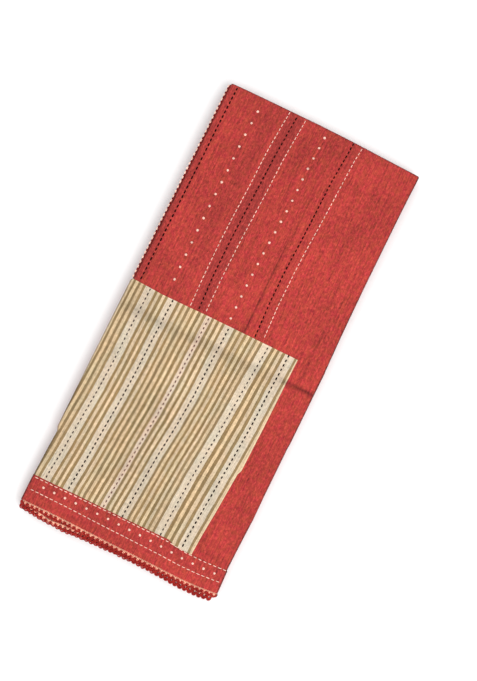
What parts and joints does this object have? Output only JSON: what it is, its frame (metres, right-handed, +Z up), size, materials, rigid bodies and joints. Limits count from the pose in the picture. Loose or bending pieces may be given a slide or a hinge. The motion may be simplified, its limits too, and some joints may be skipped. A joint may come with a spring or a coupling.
{
  "type": "folded saree",
  "caption": "Red handloom saree folded into a long flat packet, with a striped patch, a stitched border band and a picot edging, to lie on a surface.",
  "frame": {"origin": "on the surface that the packet lies on, under the middle of its box", "axes": "+Y along the packet towards its head, where the width is folded in half; +Z up from the surface; +X across the packet towards the red strip beside the patch"},
  "size_m": [0.2613, 0.5828, 0.026],
  "materials": {
    "red_cloth": "slubbed handloom, slight sheen",
    "striped_cloth": "plain weave in cream and olive-brown stripes, matte",
    "edging_thread": "crocheted thread, cream and dark red"
  },
  "bodies": {
    "root": {"hidden_layers": "red_cloth", "second_layer": "red_cloth", "front_layer": "red_cloth", "striped_patch": "striped_cloth", "border_band": "red_cloth", "front_edging": "edging_thread", "second_edging": "edging_thread", "pallu_edging": "edging_thread"}
  },
  "joints": []
}
